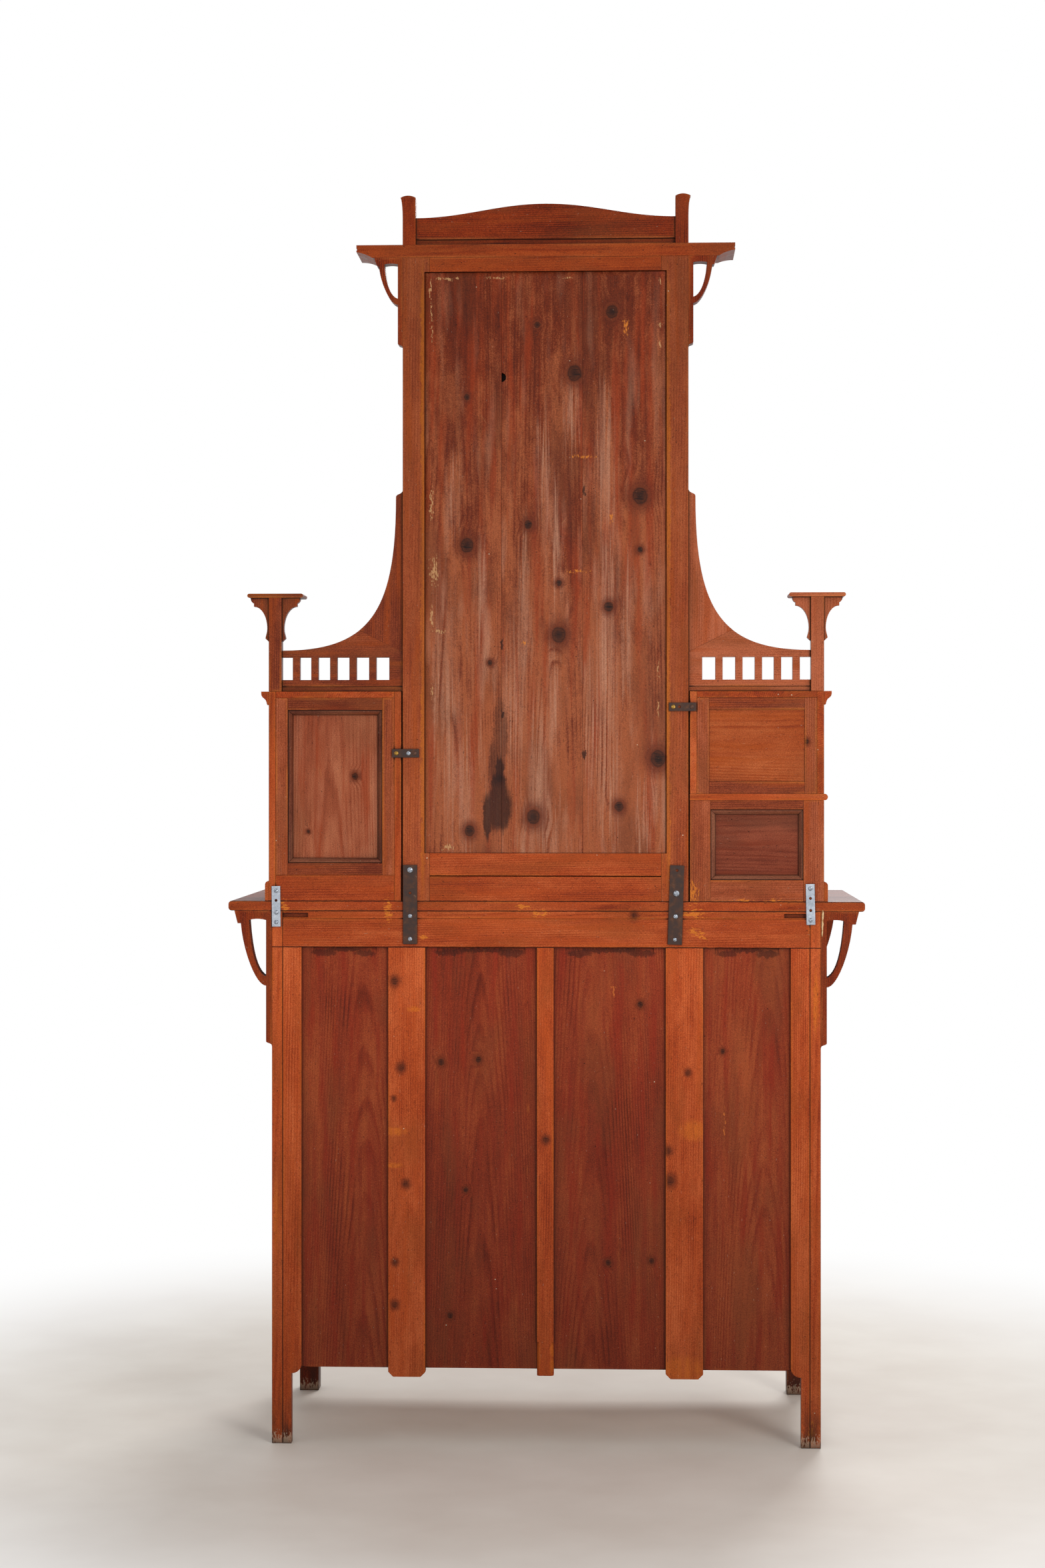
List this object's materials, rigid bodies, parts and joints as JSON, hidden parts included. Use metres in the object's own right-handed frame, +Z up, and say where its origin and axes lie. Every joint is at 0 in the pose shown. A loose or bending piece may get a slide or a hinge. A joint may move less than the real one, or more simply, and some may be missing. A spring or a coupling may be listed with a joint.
{
  "type": "mirror-back sideboard",
  "caption": "Stained pine mirror-back sideboard with drawers and doors below, an end cupboard each side of a tall mirror frame, fretted swept galleries and a crested cornice",
  "frame": {"origin": "On the floor, under the middle of the whole piece's width and depth", "axes": "+X to the right as seen from the front, +Y to the rear (the back that the picture shows), +Z up"},
  "size_m": [1.176, 0.488, 2.31],
  "materials": {
    "stained_pine_show": "satin",
    "stained_pine_frame": "satin",
    "stained_pine_panel": "satin",
    "stained_pine_backboard": "satin",
    "plain_pine_inner": "matte",
    "aged_brass": "satin",
    "black_iron": "matte",
    "bright_zinc": "satin",
    "silvered_mirror": "gloss",
    "clear_glass": "gloss"
  },
  "bodies": {
    "carcase": {"front_legs": "stained_pine_show", "rear_legs": "stained_pine_frame", "side_rails": "stained_pine_show", "side_panels": "stained_pine_show", "back_top_rail": "stained_pine_frame", "back_stiles": "stained_pine_frame", "back_muntins": "stained_pine_frame", "back_panels": "stained_pine_panel", "bottom_board": "plain_pine_inner", "partitions": "plain_pine_inner", "base_shelves": "plain_pine_inner", "front_rails": "stained_pine_show", "drawer_runners": "plain_pine_inner", "sideboard_top": "stained_pine_show", "wing_brackets": "stained_pine_show", "tall_cupboard_case": "stained_pine_show", "small_cupboard_case": "stained_pine_show", "cupboard_back_frames": "stained_pine_frame", "cupboard_back_panels": "stained_pine_panel", "cupboard_back_beads": "stained_pine_frame", "niche_plinth": "stained_pine_show", "niche_columns": "stained_pine_show", "cupboard_cornices": "stained_pine_show", "cupboard_skirtings": "stained_pine_show", "mirror_frame_stiles": "stained_pine_frame", "mirror_frame_rails": "stained_pine_frame", "mirror_glass": "silvered_mirror", "mirror_backboard": "stained_pine_backboard", "cornice": "stained_pine_show", "cornice_brackets": "stained_pine_show", "crest_board": "stained_pine_show", "crest_posts": "stained_pine_show", "gallery_frets": "stained_pine_show", "gallery_sweeps": "stained_pine_show", "gallery_posts": "stained_pine_show", "post_caps": "stained_pine_show", "cap_brackets": "stained_pine_show", "iron_straps": "black_iron", "zinc_plates": "bright_zinc", "hinge_leaves": "aged_brass"},
    "left_door": {"door_left": "stained_pine_show", "door_left_furniture": "aged_brass"},
    "left_drawer": {"drawer_left_front": "stained_pine_show", "drawer_left_box": "plain_pine_inner", "drawer_left_knob": "aged_brass"},
    "centre_door": {"door_centre": "stained_pine_show", "door_centre_furniture": "aged_brass"},
    "centre_drawer": {"drawer_centre_front": "stained_pine_show", "drawer_centre_box": "plain_pine_inner", "drawer_centre_knob": "aged_brass"},
    "right_door": {"door_right": "stained_pine_show", "door_right_furniture": "aged_brass"},
    "right_drawer": {"drawer_right_front": "stained_pine_show", "drawer_right_box": "plain_pine_inner", "drawer_right_knob": "aged_brass"},
    "tall_cupboard_door": {"tall_door": "stained_pine_show", "tall_door_glass": "clear_glass", "tall_door_furniture": "aged_brass"},
    "small_cupboard_door": {"small_door": "stained_pine_show", "small_door_furniture": "aged_brass"}
  },
  "joints": [
    {"name": "left_door_hinge", "type": "hinge", "parent": "carcase", "child": "left_door", "pos_m": [-0.4679, -0.223, 0.464], "axis": [0, 0, -1], "range_deg": [0, 110]},
    {"name": "centre_door_hinge", "type": "hinge", "parent": "carcase", "child": "centre_door", "pos_m": [-0.2464, -0.223, 0.464], "axis": [0, 0, -1], "range_deg": [0, 100]},
    {"name": "right_door_hinge", "type": "hinge", "parent": "carcase", "child": "right_door", "pos_m": [0.4679, -0.223, 0.464], "axis": [0, 0, 1], "range_deg": [0, 110]},
    {"name": "tall_cupboard_hinge", "type": "hinge", "parent": "carcase", "child": "tall_cupboard_door", "pos_m": [0.4989, 0.002, 1.21], "axis": [0, 0, 1], "range_deg": [0, 110]},
    {"name": "small_cupboard_hinge", "type": "hinge", "parent": "carcase", "child": "small_cupboard_door", "pos_m": [-0.4989, 0.002, 1.2855], "axis": [0, 0, -1], "range_deg": [0, 110]},
    {"name": "left_drawer_slide", "type": "slide", "parent": "carcase", "child": "left_drawer", "axis": [0, -1, 0], "range_m": [0, 0.3]},
    {"name": "centre_drawer_slide", "type": "slide", "parent": "carcase", "child": "centre_drawer", "axis": [0, -1, 0], "range_m": [0, 0.3]},
    {"name": "right_drawer_slide", "type": "slide", "parent": "carcase", "child": "right_drawer", "axis": [0, -1, 0], "range_m": [0, 0.3]}
  ]
}
